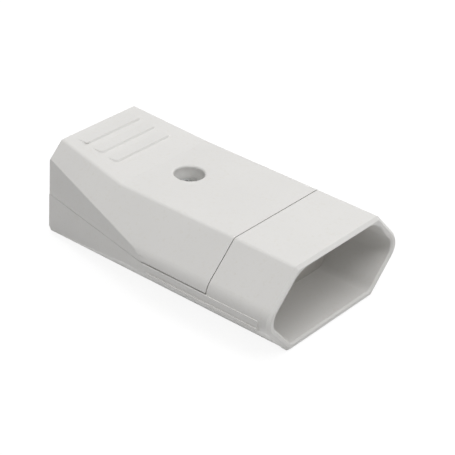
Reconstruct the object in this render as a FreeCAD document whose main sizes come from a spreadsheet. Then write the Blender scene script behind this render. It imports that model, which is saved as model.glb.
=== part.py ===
import FreeCAD, Part
import math
import os

import Sketcher

# Inline socket connector: a re-wireable three-pole socket for the end of a cord.
# X runs across, Y from the plug mouth (-Y) to the cord end (+Y), Z up.
# The origin is the middle of the underside. Pieces are drawn with Y measured
# back from the mouth and are then moved forward by half the body's length.

SIZES = {
    # outline of the housing, with the side points taken before they are rounded
    "body_length": 60.5,
    "rear_rise": 2.2,
    "rise_length": 18.0,
    "point_height": 9.0,
    "top_half_width": 12.7,
    "point_half_width": 21.7,
    "bottom_half_width": 13.0,
    "rear_half_width": 13.73,
    "taper_angle": 12.0,
    # roundings of the housing
    "point_radius": 3.8,
    "top_edge_radius": 1.0,
    "bottom_edge_radius": 4.5,
    "rear_edge_bevel": 0.7,
    "rim_bevel": 0.6,
    "lip_depth": 1.5,
    "lip_corner_radius": 0.9,
    # recess for the plug
    "recess_depth": 12.0,
    "recess_wall": 1.5,
    "recess_floor": 1.6,
    "roof_wall": 1.15,
    "recess_point_radius": 3.0,
    "recess_top_radius": 5.5,
    "recess_bottom_radius": 2.0,
    "mouth_bevel": 0.35,
    # walls behind the recess and the joint between the two shells
    "shell_wall": 1.2,
    "shell_floor": 1.3,
    "rear_wall": 1.6,
    "sleeve_overlap": 2.5,
    "sleeve_gap": 0.2,
    "joint_height": 9.1,
    "joint_gap": 0.15,
    "tongue_height": 0.8,
    "tongue_wall": 0.45,
    "tongue_gap": 0.1,
    "hook_length": 1.0,
    "hook_wall": 0.45,
    "hook_side_gap": 2.6,
    # side rails
    "rail_start": 2.5,
    "rail_depth": 1.45,
    "rail_proud": 0.22,
    "bead_depth": 0.55,
    "bead_proud": 0.25,
    "bead_bevel": 0.5,
    # finger ridges
    "ridge_count": 3,
    "ridge_from_rear": 12.6,
    "ridge_pitch": 3.95,
    "ridge_height": 0.35,
    "ridge_length": 2.6,
    "ridge_side_gap": 2.5,
    "ridge_end_radius": 0.8,
    # plug pins and their holes
    "pin_radius": 2.0,
    "pin_length": 19.0,
    "pin_spacing": 19.0,
    "earth_rise": 5.0,
    "pin_hole_gap": 0.2,
    "pin_hole_bevel": 0.25,
    "earth_land": 0.075,
    # contact carrier and retainer
    "carrier_gap": 0.1,
    "carrier_face": 3.0,
    "chamber_gap": 0.1,
    "coring_wall": 1.4,
    "coring_depth": 7.0,
    "retainer_gap": 0.05,
    "retainer_thickness": 1.5,
    "retainer_slot_gap": 0.15,
    # contacts
    "contact_length": 6.8,
    "bore_gap": 0.03,
    "sleeve_metal": 0.42,
    "slit_width": 0.6,
    "slit_length": 5.6,
    "collar_width": 0.75,
    "collar_thickness": 1.2,
    "barrel_metal": 1.07,
    "barrel_gap": 0.2,
    "pin_end_gap": 0.6,
    "barrel_end": 0.8,
    "block_length": 6.8,
    "earth_block_length": 5.55,
    "block_side_metal": 1.7,
    "block_roof_metal": 1.8,
    "wire_radius": 1.5,
    "wire_end_metal": 1.2,
    "plate_thickness": 1.0,
    "plate_side": 0.15,
    "plate_step": 1.6,
    "tab_half_width": 2.0,
    "earth_screw_gap": 1.425,
    "earth_roof_metal": 1.3,
    # spring rings
    "ring_front": 2.3,
    "ring_width": 2.0,
    "ring_thickness": 0.22,
    "ring_gap": 0.03,
    "ring_opening": 24.0,
    # screws and threaded bushes
    "thread_radius": 1.5,
    "thread_gap": 0.05,
    "thread_end_gap": 0.8,
    "terminal_head_radius": 2.3,
    "terminal_head_height": 1.8,
    "head_bevel": 0.35,
    "screw_slot_width": 0.8,
    "screw_slot_depth": 0.9,
    "wire_room": 2.3,
    "cover_head_radius": 2.75,
    "cover_head_height": 1.9,
    "cover_head_bevel": 0.8,
    "cover_head_sink": 2.0,
    "cross_width": 0.7,
    "cross_length": 2.8,
    "well_gap": 0.25,
    "screw_hole_gap": 0.2,
    "boss_wall": 1.2,
    "boss_floor": 2.3,
    "post_wall": 1.4,
    "post_gap": 0.1,
    "bush_metal": 0.6,
    "bush_length": 5.5,
    # cord inlet and cord clamp
    "cord_radius": 3.5,
    "inlet_gap": 0.5,
    "clamp_from_rear": 7.2,
    "clamp_side_gap": 1.0,
    "clamp_squeeze": 0.8,
    "clamp_post_wall": 0.9,
    "clamp_thickness": 2.6,
    "clamp_length": 5.0,
    "clamp_overhang": 3.0,
    "clamp_end_radius": 2.0,
    "clamp_grip": 0.1,
    "clamp_head_radius": 2.6,
    "clamp_head_height": 1.9,
    "saddle_spacing": 4.0,
    "saddle_thickness": 1.2,
    "saddle_side": 2.5,
    "saddle_drop": 1.6,
    # ribs inside the lower shell
    "stop_side_gap": 0.8,
    "stop_top": 7.0,
    "stop_gap": 0.15,
    "stop_thickness": 1.2,
    "rest_gap": 0.1,
    "rest_length": 2.0,
    "rest_half_width": 2.4,
    # how far a cutting sketch reaches past the surface it cuts
    "overrun": 2.0,
}


class Size:
    """A number together with its expression in the sheet's names."""

    def __init__(self, text, value):
        self.text = text
        self.value = value

    def joined(self, sign, other, value):
        return Size("(%s %s %s)" % (self.text, sign, other.text), value)

    def __add__(self, other):
        other = as_size(other)
        return self.joined("+", other, self.value + other.value)

    def __sub__(self, other):
        other = as_size(other)
        return self.joined("-", other, self.value - other.value)

    def __mul__(self, other):
        other = as_size(other)
        return self.joined("*", other, self.value * other.value)

    def __truediv__(self, other):
        other = as_size(other)
        return self.joined("/", other, self.value / other.value)

    def __neg__(self):
        return Size("(-1 * %s)" % self.text, -self.value)


def as_size(number):
    if isinstance(number, Size):
        return number
    return Size("%g" % number, float(number))


def root(size):
    return Size("sqrt(%s)" % size.text, math.sqrt(size.value))


def tangent(angle):
    return Size("tan(%s)" % angle.text, math.tan(math.radians(angle.value)))


class Sheet:
    """The document's spreadsheet, with each alias readable as a Size."""

    def __init__(self, document, sizes):
        page = document.addObject("Spreadsheet::Sheet", "Sheet")
        for row, (alias, value) in enumerate(sizes.items(), start=1):
            page.set("A%d" % row, alias.replace("_", " "))
            page.set("B%d" % row, str(value))
            page.setAlias("B%d" % row, alias)
            setattr(self, alias, Size("Sheet.%s" % alias, float(value)))


doc = FreeCAD.newDocument("inline_socket_connector")
size = Sheet(doc, SIZES)
doc.recompute()

NEAR = 1e-4
pieces = []


# Places and sizes that follow from the driving ones

pin_hole_radius = size.pin_radius + size.pin_hole_gap
recess_half_height = (
    size.earth_rise + pin_hole_radius + size.pin_hole_bevel + size.carrier_gap + size.earth_land
)
pin_height = size.recess_floor + recess_half_height
recess_top = pin_height + recess_half_height
mouth_height = recess_top + size.roof_wall
rear_height = mouth_height + size.rear_rise
rise_start = size.body_length - size.rise_length
roof_slope = size.rear_rise / size.rise_length
sleeve_depth = size.recess_depth + size.sleeve_overlap
cover_front = sleeve_depth + size.sleeve_gap
cover_bottom = size.joint_height + size.joint_gap
inner_rear = size.body_length - size.rear_wall

earth_height = pin_height + size.earth_rise
carrier_top = recess_top - size.carrier_gap
carrier_bottom = size.shell_floor + size.carrier_gap
block_inset = size.shell_wall + size.carrier_gap
chamber_front = size.recess_depth + size.carrier_face
contact_front = chamber_front + size.chamber_gap
collar_front = contact_front + size.contact_length
carrier_rear = collar_front + size.collar_thickness
retainer_front = carrier_rear + size.retainer_gap
retainer_rear = retainer_front + size.retainer_thickness
barrel_front = retainer_rear + size.barrel_gap
bore_rear = size.recess_depth + size.pin_length + size.pin_end_gap
block_front = bore_rear + size.barrel_end
block_rear = block_front + size.block_length
block_middle = block_front + size.block_length / 2
earth_block_rear = barrel_front + size.earth_block_length
earth_block_middle = (barrel_front + earth_block_rear) / 2

bore_radius = size.pin_radius + size.bore_gap
sleeve_radius = bore_radius + size.sleeve_metal
chamber_radius = sleeve_radius + size.chamber_gap
collar_radius = sleeve_radius + size.collar_width
barrel_radius = bore_radius + size.barrel_metal
block_half_width = size.wire_radius + size.block_side_metal
block_half_height = size.wire_radius + size.block_roof_metal
plate_half_width = sleeve_radius + size.plate_side
earth_block_top = earth_height - size.pin_radius - size.terminal_head_height - size.earth_screw_gap
earth_block_foot = earth_block_top - (size.wire_radius + size.earth_roof_metal) * 2
plate_foot = earth_block_foot + size.plate_step

bush_bore = size.thread_radius + size.thread_gap
bush_radius = size.thread_radius + size.bush_metal
post_radius = bush_radius + size.post_wall
clamp_post_radius = bush_radius + size.clamp_post_wall
screw_hole_radius = size.thread_radius + size.screw_hole_gap
well_radius = size.cover_head_radius + size.well_gap
boss_radius = well_radius + size.boss_wall
cover_screw_place = earth_block_rear + size.wire_room + post_radius
cover_seat = mouth_height - size.cover_head_sink - size.cover_head_height
boss_bottom = cover_seat - size.boss_floor
post_top = boss_bottom - size.post_gap
cover_shank = cover_seat - post_top + size.bush_length - size.thread_end_gap
terminal_shank = (earth_block_top - earth_block_foot) / 2

inlet_radius = size.cord_radius + size.inlet_gap
clamp_place = size.body_length - size.clamp_from_rear
clamp_reach = inlet_radius + size.clamp_side_gap + clamp_post_radius
clamp_post_top = size.joint_height + size.cord_radius - size.clamp_squeeze
clamp_shank = size.clamp_thickness + size.bush_length - size.thread_end_gap

ZERO = as_size(0)
line_centres = [(-size.pin_spacing / 2, pin_height), (size.pin_spacing / 2, pin_height)]
earth_centre = (ZERO, earth_height)
cord_axis = (ZERO, size.joint_height)
clamp_places = [(-clamp_reach, clamp_place), (clamp_reach, clamp_place)]


# Heights and widths of the six-sided section

upper_slope = (size.point_half_width - size.top_half_width) / (mouth_height - size.point_height)
lower_slope = (size.point_half_width - size.bottom_half_width) / size.point_height
upper_length = root(upper_slope * upper_slope + 1)
lower_length = root(lower_slope * lower_slope + 1)
side_half_width = size.point_half_width - size.point_radius * (upper_length - 1)
rail_half_width = side_half_width + size.rail_proud
bead_half_width = rail_half_width + size.bead_proud


def upper_half_width(height, inset):
    """Half width of the section on its upper slope, moved in by inset."""
    return size.top_half_width + (mouth_height - height) * upper_slope - inset * upper_length


def lower_half_width(height, inset):
    """Half width of the section on its lower slope, moved in by inset."""
    return size.bottom_half_width + height * lower_slope - inset * lower_length


def section(inset, bottom, top):
    """Corners of the six-sided section, its slopes moved in by inset."""
    rise = size.top_half_width - size.bottom_half_width + mouth_height * upper_slope
    point_height = (rise - inset * (upper_length - lower_length)) / (upper_slope + lower_slope)
    point = lower_half_width(point_height, inset)
    upper = upper_half_width(top, inset)
    lower = lower_half_width(bottom, inset)
    return [
        (lower, bottom),
        (point, point_height),
        (upper, top),
        (-upper, top),
        (-point, point_height),
        (-lower, bottom),
    ]


def roof_height(distance):
    """Height of the rising part of the roof at a distance behind the mouth."""
    return mouth_height + (distance - rise_start) * roof_slope


hook_top = recess_top + size.hook_wall
hook_half_width = upper_half_width(hook_top + size.tongue_gap, size.shell_wall) - size.hook_side_gap
ridge_half_width = upper_half_width(rear_height, ZERO) - size.ridge_side_gap


# Sketch and feature helpers


def new_body(label):
    body = doc.addObject("PartDesign::Body", label)
    body.Label = label
    return body


def place(body, x=ZERO, y=ZERO, z=ZERO):
    """Puts a body, drawn at its own origin, in the connector's frame."""
    body.setExpression("Placement.Base.x", x.text)
    body.setExpression("Placement.Base.y", (y - size.body_length / 2).text)
    body.setExpression("Placement.Base.z", z.text)
    pieces.append(body)


def start_sketch(body, name, role, offset):
    sketch = body.newObject("Sketcher::SketchObject", name)
    plane = next(item for item in body.Origin.OriginFeatures if item.Role == role)
    sketch.AttachmentSupport = [(plane, "")]
    sketch.MapMode = "FlatFace"
    along_normal = -offset if role == "XZ_Plane" else offset
    sketch.setExpression("AttachmentOffset.Base.z", along_normal.text)
    return sketch


def fix_point(sketch, shape, end, x, y):
    across = sketch.addConstraint(Sketcher.Constraint("DistanceX", -1, 1, shape, end, x.value))
    sketch.setExpression("Constraints[%d]" % across, x.text)
    upward = sketch.addConstraint(Sketcher.Constraint("DistanceY", -1, 1, shape, end, y.value))
    sketch.setExpression("Constraints[%d]" % upward, y.text)


def add_outline(sketch, corners):
    """Adds a closed outline of straight edges, each corner set from the sheet."""
    corners = [(as_size(x), as_size(y)) for x, y in corners]
    first = sketch.GeometryCount
    count = len(corners)
    for index in range(count):
        x, y = corners[index]
        next_x, next_y = corners[(index + 1) % count]
        start = FreeCAD.Vector(x.value, y.value, 0)
        end = FreeCAD.Vector(next_x.value, next_y.value, 0)
        sketch.addGeometry(Part.LineSegment(start, end), False)
    for index in range(count):
        after = first + (index + 1) % count
        sketch.addConstraint(Sketcher.Constraint("Coincident", first + index, 2, after, 1))
    for index in range(count):
        fix_point(sketch, first + index, 1, *corners[index])


def outline(body, name, role, corners, offset=ZERO):
    sketch = start_sketch(body, name, role, offset)
    add_outline(sketch, corners)
    return sketch


def mirrored_outlines(body, name, role, corners, offset=ZERO):
    """The same closed outline on the right and on the left."""
    sketch = start_sketch(body, name, role, offset)
    corners = [(as_size(x), as_size(y)) for x, y in corners]
    add_outline(sketch, corners)
    add_outline(sketch, [(-x, y) for x, y in reversed(corners)])
    return sketch


def circles(body, name, role, centres, radius, offset=ZERO):
    sketch = start_sketch(body, name, role, offset)
    for x, y in centres:
        x = as_size(x)
        y = as_size(y)
        centre = FreeCAD.Vector(x.value, y.value, 0)
        normal = FreeCAD.Vector(0, 0, 1)
        index = sketch.addGeometry(Part.Circle(centre, normal, radius.value), False)
        fix_point(sketch, index, 3, x, y)
        width = sketch.addConstraint(Sketcher.Constraint("Radius", index, radius.value))
        sketch.setExpression("Constraints[%d]" % width, radius.text)
    return sketch


def box(left, right, bottom, top):
    return [(left, bottom), (right, bottom), (right, top), (left, top)]


def finish(feature):
    doc.recompute()
    if "Invalid" in feature.State or "Error" in feature.State:
        raise RuntimeError("%s failed: %s" % (feature.Name, feature.State))
    return feature


def pad(body, name, sketch, length, reverse=False, midplane=False):
    feature = body.newObject("PartDesign::Pad", name)
    feature.Profile = sketch
    feature.Midplane = midplane
    feature.Reversed = reverse
    feature.setExpression("Length", length.text)
    return finish(feature)


def pocket(body, name, sketch, length, reverse=False, midplane=False):
    before = body.Shape.Volume
    feature = body.newObject("PartDesign::Pocket", name)
    feature.Profile = sketch
    feature.Midplane = midplane
    feature.Reversed = reverse
    feature.setExpression("Length", length.text)
    finish(feature)
    if body.Shape.Volume > before - NEAR:
        raise RuntimeError("%s cuts nothing" % name)
    return feature


def revolve(body, name, sketch, axis="V_Axis", angle=as_size(360)):
    feature = body.newObject("PartDesign::Revolution", name)
    feature.Profile = sketch
    feature.ReferenceAxis = (sketch, [axis])
    feature.setExpression("Angle", angle.text)
    return finish(feature)


def edges_where(shape, test):
    """Names of the edges whose middle point passes the test."""
    names = []
    for index, edge in enumerate(shape.Edges, start=1):
        if test(edge.CenterOfMass, edge):
            names.append("Edge%d" % index)
    return names


def fillet(body, name, radius, test, kind="PartDesign::Fillet", setting="Radius"):
    base = body.Tip
    names = edges_where(base.Shape, test)
    if not names:
        raise RuntimeError("%s finds no edge" % name)
    feature = body.newObject(kind, name)
    feature.Base = (base, names)
    feature.setExpression(setting, radius.text)
    return finish(feature)


def chamfer(body, name, width, test):
    return fillet(body, name, width, test, "PartDesign::Chamfer", "Size")


def is_near(first, second, reach=0.02):
    return abs(first - as_size(second).value) < reach


def runs_along(edge, axis):
    """True for a straight edge that runs along an axis or nearly so."""
    ends = edge.Vertexes
    if len(ends) != 2:
        return False
    step = ends[1].Point - ends[0].Point
    return abs(step.normalize().dot(axis)) > 0.98


ALONG_Y = FreeCAD.Vector(0, 1, 0)
ALONG_Z = FreeCAD.Vector(0, 0, 1)


# Housing


def on_corner(corner):
    """Test for a lengthwise edge that lies on a corner of the section, left or right."""
    x, z = corner

    def test(middle, edge):
        return is_near(abs(middle.x), x) and is_near(middle.z, z) and runs_along(edge, ALONG_Y)

    return test


def six_sided_prism(body, inset, bottom, top, front, length, radii):
    """A prism on the section with its points and its bottom edges rounded."""
    corners = section(inset, bottom, top)
    sketch = outline(body, body.Name + "_section", "XZ_Plane", corners, front)
    pad(body, body.Name + "_prism", sketch, length, reverse=True)
    for name, radius, corner in zip(("bottom", "point", "top"), radii, corners):
        if radius is not None:
            fillet(body, "%s_%s_rounding" % (body.Name, name), radius, on_corner(corner))


def cut_roof(body, inset):
    """Cuts a prism down to the roof, level at first and then rising."""
    ceiling = rear_height + size.overrun
    corners = [
        (-size.overrun, mouth_height - inset),
        (rise_start, mouth_height - inset),
        (size.body_length + size.overrun, roof_height(size.body_length + size.overrun) - inset),
        (size.body_length + size.overrun, ceiling),
        (-size.overrun, ceiling),
    ]
    sketch = outline(body, body.Name + "_roof_line", "YZ_Plane", corners)
    pocket(body, body.Name + "_roof", sketch, size.body_length, midplane=True)


def cut_tapers(body, inset):
    """Cuts the two upright flats that narrow the housing towards the cord end."""
    slant = tangent(size.taper_angle)
    shift = inset * root(slant * slant + 1)
    rear = size.rear_half_width - shift
    outside = size.point_half_width + size.overrun
    front = size.body_length - (outside - rear) / slant
    back = size.body_length + size.overrun
    corners = [(outside, front), (outside, back), (rear - size.overrun * slant, back)]
    sketch = mirrored_outlines(body, body.Name + "_taper_lines", "XY_Plane", corners)
    pocket(body, body.Name + "_tapers", sketch, size.body_length, midplane=True)


def tub_form(body):
    """The outside of the lower shell, with a squarer lip round its mouth."""
    corners = section(ZERO, ZERO, mouth_height)
    front = size.lip_depth
    sketch = outline(body, "tub_section", "XZ_Plane", corners, front)
    pad(body, "tub_prism", sketch, size.body_length - front, reverse=True)
    fillet(body, "tub_bottom_rounding", size.bottom_edge_radius, on_corner(corners[0]))
    lip = outline(body, "lip_section", "XZ_Plane", corners)
    pad(body, "lip", lip, front, reverse=True)
    fillet(body, "lip_bottom_rounding", size.lip_corner_radius, on_corner(corners[0]))
    fillet(body, "tub_point_rounding", size.point_radius, on_corner(corners[1]))
    fillet(body, "tub_top_rounding", size.top_edge_radius, on_corner(corners[2]))


def cover_form(body):
    """The outside of the upper cover, its roof level at first and then rising."""
    corners = section(ZERO, ZERO, rear_height + size.overrun / 4)
    sketch = outline(body, "cover_section", "XZ_Plane", corners, cover_front)
    pad(body, "cover_prism", sketch, size.body_length - cover_front, reverse=True)
    fillet(body, "cover_point_rounding", size.point_radius, on_corner(corners[1]))
    cut_roof(body, ZERO)

    def is_roof_edge(middle, edge):
        on_slope = is_near(abs(middle.x), upper_half_width(as_size(middle.z), ZERO))
        return on_slope and middle.z > mouth_height.value - NEAR and runs_along(edge, ALONG_Y)

    fillet(body, "cover_roof_rounding", size.top_edge_radius, is_roof_edge)


def housing_core(name):
    """The space inside the two shells, behind the plug recess."""
    body = new_body(name)
    radii = (
        size.bottom_edge_radius - size.shell_wall,
        size.point_radius - size.shell_wall,
        None,
    )
    length = inner_rear - size.recess_depth
    top = rear_height
    six_sided_prism(body, size.shell_wall, size.shell_floor, top, size.recess_depth, length, radii)
    cut_roof(body, size.roof_wall)
    cut_tapers(body, size.shell_wall)
    return body


def recess_space(name):
    """The space that the plug goes into, from outside the mouth to the recess floor."""
    body = new_body(name)
    radii = (size.recess_bottom_radius, size.recess_point_radius, size.recess_top_radius)
    length = size.recess_depth + size.overrun
    six_sided_prism(body, size.recess_wall, size.recess_floor, recess_top, -size.overrun, length, radii)
    return body


def subtract(body, name, tools):
    before = body.Shape.Volume
    feature = body.newObject("PartDesign::Boolean", name)
    feature.Type = "Cut"
    feature.setObjects(tools)
    finish(feature)
    if body.Shape.Volume > before - NEAR:
        raise RuntimeError("%s cuts nothing" % name)


def plan_of_joint(inset):
    """Outline of the inside of the shells at the joint, seen from above."""
    slant = tangent(size.taper_angle)
    shift = inset * root(slant * slant + 1)
    rear = size.rear_half_width - shift
    side = side_half_width - inset
    rear_end = size.body_length - size.rear_wall + size.shell_wall - inset
    rear_x = rear + (size.body_length - rear_end) * slant
    bend = size.body_length - (side - rear) / slant
    front = sleeve_depth
    return [
        (side, front),
        (side, bend),
        (rear_x, rear_end),
        (-rear_x, rear_end),
        (-side, bend),
        (-side, front),
    ]


def add_rails(body):
    """A rail under the joint with a bead below it, along both sides."""
    rail_bottom = size.joint_height - size.rail_depth
    bead_bottom = rail_bottom - size.bead_depth
    foot = bead_bottom - size.bead_bevel
    root_width = lower_half_width(foot, size.shell_wall / 2)
    corners = [
        (root_width, foot),
        (lower_half_width(foot, ZERO), foot),
        (bead_half_width, bead_bottom),
        (bead_half_width, rail_bottom),
        (rail_half_width, rail_bottom),
        (rail_half_width, size.joint_height),
        (root_width, size.joint_height),
    ]
    sketch = mirrored_outlines(body, "rail_sections", "XZ_Plane", corners, size.rail_start)
    pad(body, "rails", sketch, size.body_length - size.rail_start, reverse=True)


def lower_shell():
    body = new_body("lower_shell")
    tub_form(body)
    add_rails(body)
    cut_tapers(body, ZERO)

    def is_rim_edge(middle, edge):
        return all(is_near(point.Point.y, ZERO) for point in edge.Vertexes)

    chamfer(body, "rim_bevel", size.rim_bevel, is_rim_edge)

    def is_rear_foot(middle, edge):
        return is_near(middle.y, size.body_length) and is_near(middle.z, ZERO)

    chamfer(body, "rear_foot_bevel", size.rear_edge_bevel, is_rear_foot)
    subtract(body, "lower_hollow", [housing_core("lower_core"), recess_space("plug_recess")])

    faces = body.Tip.Shape.Faces
    rim = next(face for face in faces if all(is_rim_edge(None, edge) for edge in face.Edges))
    outside = rim.OuterWire.Edges

    def is_mouth_edge(middle, edge):
        return is_rim_edge(middle, edge) and not any(edge.isSame(other) for other in outside)

    chamfer(body, "mouth_bevel", size.mouth_bevel, is_mouth_edge)

    back = size.body_length + size.overrun
    room = box(sleeve_depth, back, size.joint_height, mouth_height + size.overrun)
    room_sketch = outline(body, "cover_room_side", "YZ_Plane", room)
    pocket(body, "cover_room", room_sketch, size.body_length, midplane=True)
    cut_rebates(body)
    add_posts(body)
    add_ribs(body)
    cut_inlet(body)
    place(body)


def cut_rebates(body):
    """Steps in the lower shell that take the cover's tongue and its front hook."""
    rim = plan_of_joint(size.shell_wall - size.tongue_wall - size.tongue_gap)
    rim_sketch = outline(body, "rebate_plan", "XY_Plane", rim, size.joint_height)
    pocket(body, "rebate", rim_sketch, size.tongue_height)
    half_width = hook_half_width + size.tongue_gap
    top = hook_top + size.tongue_gap
    seat = box(-half_width, half_width, recess_top - size.overrun, top)
    seat_sketch = outline(body, "hook_seat_section", "XZ_Plane", seat, sleeve_depth)
    pocket(body, "hook_seat", seat_sketch, size.hook_length + size.tongue_gap, reverse=True)


def add_posts(body):
    """Round posts with blind holes for the threaded bushes."""
    posts = (
        ("cover_post", [(ZERO, cover_screw_place)], post_radius, post_top),
        ("clamp_posts", clamp_places, clamp_post_radius, clamp_post_top),
    )
    foot = size.shell_floor / 2
    for name, centres, radius, top in posts:
        sketch = circles(body, name + "_plan", "XY_Plane", centres, radius, foot)
        pad(body, name, sketch, top - foot)
        hole = circles(body, name + "_hole_plan", "XY_Plane", centres, bush_radius, top)
        pocket(body, name + "_holes", hole, size.bush_length)


def add_ribs(body):
    """Saddles under the cord, stops behind the retainer and rests under the terminals."""
    foot = size.shell_floor / 2
    half_saddle = size.cord_radius + size.saddle_side
    saddle = box(-half_saddle, half_saddle, foot, size.joint_height - size.saddle_drop)
    for name, side in (("front_saddle", -1), ("rear_saddle", 1)):
        middle = clamp_place + size.saddle_spacing * side / 2
        front = middle - size.saddle_thickness / 2
        sketch = outline(body, name + "_section", "XZ_Plane", saddle, front)
        pad(body, name, sketch, size.saddle_thickness, reverse=True)
        groove = circles(body, name + "_groove_section", "XZ_Plane", [cord_axis], size.cord_radius, front)
        pocket(body, name + "_groove", groove, size.saddle_thickness)

    half_wall = size.shell_wall / 2
    inner = size.pin_spacing / 2 + barrel_radius + size.stop_side_gap
    wall_foot = (inner - size.bottom_half_width + half_wall * lower_length) / lower_slope
    stop = [
        (inner, wall_foot),
        (lower_half_width(size.stop_top, half_wall), size.stop_top),
        (inner, size.stop_top),
    ]
    stop_sketch = mirrored_outlines(body, "stop_sections", "XZ_Plane", stop, retainer_rear + size.stop_gap)
    pad(body, "retainer_stops", stop_sketch, size.stop_thickness, reverse=True)

    half_pitch = size.pin_spacing / 2
    line_rest = box(
        half_pitch - size.rest_half_width,
        half_pitch + size.rest_half_width,
        foot,
        pin_height - block_half_height - size.rest_gap,
    )
    rest_front = block_middle - size.rest_length / 2
    rest_sketch = mirrored_outlines(body, "line_rest_sections", "XZ_Plane", line_rest, rest_front)
    pad(body, "line_rests", rest_sketch, size.rest_length, reverse=True)

    earth_rest = box(
        -size.rest_half_width,
        size.rest_half_width,
        foot,
        earth_block_foot - size.rest_gap,
    )
    earth_front = earth_block_middle - size.rest_length / 2
    earth_sketch = outline(body, "earth_rest_section", "XZ_Plane", earth_rest, earth_front)
    pad(body, "earth_rest", earth_sketch, size.rest_length, reverse=True)


def cut_inlet(body):
    """The round hole for the cord, half of it in each shell."""
    front = inner_rear - size.overrun
    sketch = circles(body, body.Name + "_inlet_section", "XZ_Plane", [cord_axis], inlet_radius, front)
    pocket(body, body.Name + "_inlet", sketch, size.overrun * 2 + size.rear_wall)


def upper_cover():
    body = new_body("upper_cover")
    cover_form(body)
    cut_tapers(body, ZERO)

    def is_rear_top(middle, edge):
        return is_near(middle.y, size.body_length) and is_near(middle.z, rear_height)

    chamfer(body, "rear_top_bevel", size.rear_edge_bevel / 2, is_rear_top)
    below = box(sleeve_depth, size.body_length + size.overrun, -size.overrun, cover_bottom)
    below_sketch = outline(body, "tub_room_side", "YZ_Plane", below)
    pocket(body, "tub_room", below_sketch, size.body_length, midplane=True)

    tongue_foot = size.joint_height - size.tongue_height + size.tongue_gap
    plan = plan_of_joint(size.shell_wall - size.tongue_wall)
    plan[0] = (plan[0][0], cover_front)
    plan[-1] = (plan[-1][0], cover_front)
    tongue = outline(body, "tongue_plan", "XY_Plane", plan, tongue_foot)
    pad(body, "tongue", tongue, cover_bottom - tongue_foot)
    subtract(body, "cover_hollow", [housing_core("cover_core")])

    hook = box(-hook_half_width, hook_half_width, recess_top, hook_top)
    hook_sketch = outline(body, "hook_section", "XZ_Plane", hook, cover_front)
    pad(body, "hook", hook_sketch, size.hook_length + size.sleeve_gap)
    add_screw_boss(body)
    add_ridges(body)
    cut_inlet(body)
    place(body)


def add_screw_boss(body):
    """The boss round the sunk screw, with its counterbore and its through hole."""
    centre = [(ZERO, cover_screw_place)]
    boss_top = mouth_height - size.roof_wall / 2
    boss = circles(body, "boss_plan", "XY_Plane", centre, boss_radius, boss_bottom)
    pad(body, "boss", boss, boss_top - boss_bottom)
    bore = circles(body, "counterbore_plan", "XY_Plane", centre, well_radius, rear_height)
    pocket(body, "counterbore", bore, rear_height - cover_seat)
    hole = circles(body, "screw_hole_plan", "XY_Plane", centre, screw_hole_radius, rear_height)
    pocket(body, "screw_hole", hole, rear_height)


def add_ridges(body):
    """Low wedges across the raised roof, steep and round-cornered towards the mouth."""
    fronts = []
    for index in range(SIZES["ridge_count"]):
        front = size.body_length - size.ridge_from_rear + size.ridge_pitch * index
        fronts.append(front)
        back = front + size.ridge_length
        sunk = size.roof_wall / 2
        wedge = [
            (front, roof_height(front) - sunk),
            (back, roof_height(back) - sunk),
            (back, roof_height(back)),
            (front, roof_height(front) + size.ridge_height),
        ]
        name = "ridge_%d" % (index + 1)
        sketch = outline(body, name + "_side", "YZ_Plane", wedge)
        pad(body, name, sketch, ridge_half_width * 2, midplane=True)

    def is_front_corner(middle, edge):
        at_front = any(is_near(middle.y, front) for front in fronts)
        return at_front and is_near(abs(middle.x), ridge_half_width) and runs_along(edge, ALONG_Z)

    fillet(body, "ridge_corner_rounding", size.ridge_end_radius, is_front_corner)


# Contact carrier and retainer


def carrier_prism(body, front, length):
    radii = (
        size.bottom_edge_radius - block_inset,
        size.point_radius - block_inset,
        None,
    )
    six_sided_prism(body, block_inset, carrier_bottom, carrier_top, front, length, radii)


def contact_carrier():
    body = new_body("contact_carrier")
    carrier_prism(body, size.recess_depth, carrier_rear - size.recess_depth)

    centres = line_centres + [earth_centre]
    face = size.recess_depth
    holes = circles(body, "pin_hole_sections", "XZ_Plane", centres, pin_hole_radius, face)
    pocket(body, "pin_holes", holes, size.carrier_face)

    def is_pin_hole_edge(middle, edge):
        return is_near(middle.y, size.recess_depth) and len(edge.Vertexes) == 1

    chamfer(body, "pin_hole_bevel", size.pin_hole_bevel, is_pin_hole_edge)

    chamber_length = carrier_rear - chamber_front
    chambers = circles(body, "chamber_sections", "XZ_Plane", centres, chamber_radius, chamber_front)
    pocket(body, "chambers", chambers, chamber_length)
    channel = box(-chamber_radius, chamber_radius, earth_height, carrier_top + size.overrun)
    channel_sketch = outline(body, "earth_channel_section", "XZ_Plane", channel, chamber_front)
    pocket(body, "earth_channel", channel_sketch, chamber_length)

    seat_radius = collar_radius + size.chamber_gap
    seats = circles(body, "collar_seat_sections", "XZ_Plane", line_centres, seat_radius, collar_front)
    pocket(body, "collar_seats", seats, size.collar_thickness)
    plate_width = plate_half_width + size.chamber_gap
    plate = box(-plate_width, plate_width, plate_foot - size.chamber_gap, carrier_top + size.overrun)
    plate_front = carrier_rear - size.plate_thickness
    plate_sketch = outline(body, "plate_seat_section", "XZ_Plane", plate, plate_front)
    pocket(body, "plate_seat", plate_sketch, size.plate_thickness)
    cut_coring(body)
    place(body)


def cut_coring(body):
    """Hollows in the carrier's rear face that keep its walls even."""
    inset = block_inset + size.coring_wall
    inner = size.pin_spacing / 2 + collar_radius + size.chamber_gap + size.coring_wall
    point = section(inset, carrier_bottom, carrier_top)[1]
    top = mouth_height - (inner - size.top_half_width + inset * upper_length) / upper_slope
    bottom = (inner - size.bottom_half_width + inset * lower_length) / lower_slope
    corners = [(inner, bottom), point, (inner, top)]
    front = carrier_rear - size.coring_depth
    sketch = mirrored_outlines(body, "coring_sections", "XZ_Plane", corners, front)
    pocket(body, "coring", sketch, size.coring_depth)


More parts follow.
